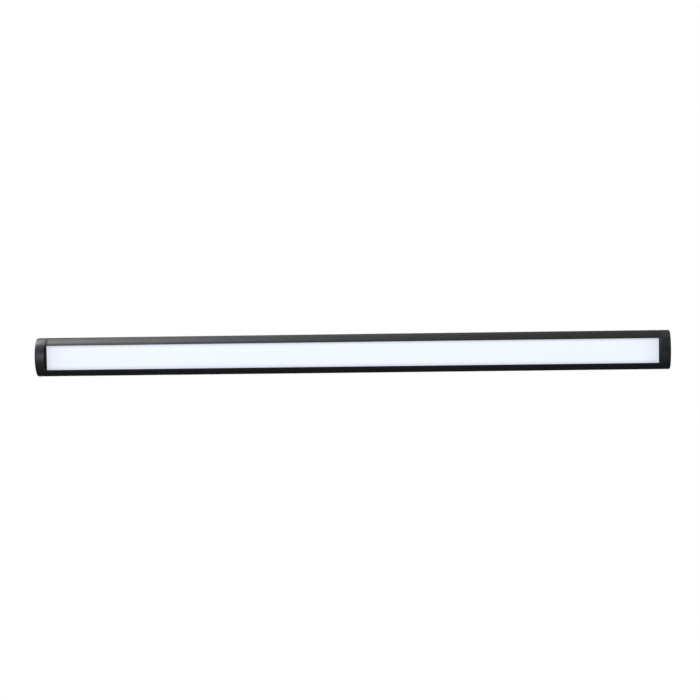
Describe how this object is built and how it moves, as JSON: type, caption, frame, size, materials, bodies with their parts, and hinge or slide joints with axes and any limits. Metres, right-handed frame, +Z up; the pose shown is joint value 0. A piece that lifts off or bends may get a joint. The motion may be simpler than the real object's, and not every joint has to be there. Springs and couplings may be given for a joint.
{
  "type": "vanity light bar",
  "caption": "Slim horizontal LED wall light bar: satin black extrusion with domed end caps, flat opal front diffuser, hidden driver and a hook-on wall plate.",
  "frame": {"origin": "middle of the wall plate's rear face, on the wall plane", "axes": "+X along the bar to the viewer's right, +Y into the wall, +Z up; the diffuser faces -Y"},
  "size_m": [0.61, 0.038, 0.0372],
  "materials": {
    "housing": "satin black powder coat on extruded aluminium",
    "end_cap": "fine-textured satin black moulding",
    "gasket": "matt black silicone",
    "steel_screw": "zinc-plated steel",
    "black_screw": "black-plated steel",
    "thermal_pad": "grey filled silicone",
    "led_board": "white solder mask on a metal-core board",
    "led_package": "white package with yellow phosphor",
    "connector": "ivory nylon",
    "reflector": "white film",
    "driver_case": "off-white flame-retardant plastic",
    "circuit_board": "green solder mask",
    "transformer": "dark ferrite with yellow tape",
    "capacitor": "sleeved aluminium can",
    "component": "black moulded packages",
    "terminal": "natural nylon",
    "brass": "bright brass",
    "live_lead": "brown insulation",
    "neutral_lead": "blue insulation",
    "earth_lead": "green and yellow insulation",
    "red_lead": "red insulation",
    "black_lead": "black insulation",
    "sheet_steel": "zinc-plated sheet",
    "black_sheet": "black painted steel sheet",
    "diffuser": "opal acrylic, fine satin face"
  },
  "bodies": {
    "wall_bracket": {"wall_plate": "sheet_steel", "cable_grommet": "gasket"},
    "light_bar": {"housing": "housing", "diffuser": "diffuser", "end_cap_left": "end_cap", "end_cap_right": "end_cap", "end_gasket_left": "gasket", "end_gasket_right": "gasket", "end_cap_screws_left": "black_screw", "end_cap_screws_right": "black_screw", "thermal_pad": "thermal_pad", "led_board_left": "led_board", "led_board_right": "led_board", "led_packages_left": "led_package", "led_packages_right": "led_package", "board_link": "connector", "board_screws": "steel_screw", "reflector_top": "reflector", "reflector_bottom": "reflector", "driver_tray": "driver_case", "driver_cover": "driver_case", "driver_board": "circuit_board", "driver_transformer": "transformer", "driver_capacitors": "capacitor", "driver_components": "component", "driver_screws": "steel_screw", "terminal_block": "terminal", "terminal_clamps": "brass", "terminal_screws": "steel_screw", "terminal_block_screw": "steel_screw", "live_lead": "live_lead", "neutral_lead": "neutral_lead", "earth_lead": "earth_lead", "earth_lug": "brass", "earth_screw": "brass", "led_lead_red": "red_lead", "led_lead_black": "black_lead", "led_lead_grommet": "gasket", "rear_cover": "black_sheet", "rear_cover_screws": "black_screw"}
  },
  "joints": [
    {"name": "bar_lift", "type": "slide", "parent": "wall_bracket", "child": "light_bar", "axis": [0, 0, 1], "range_m": [0, 0.006]}
  ]
}
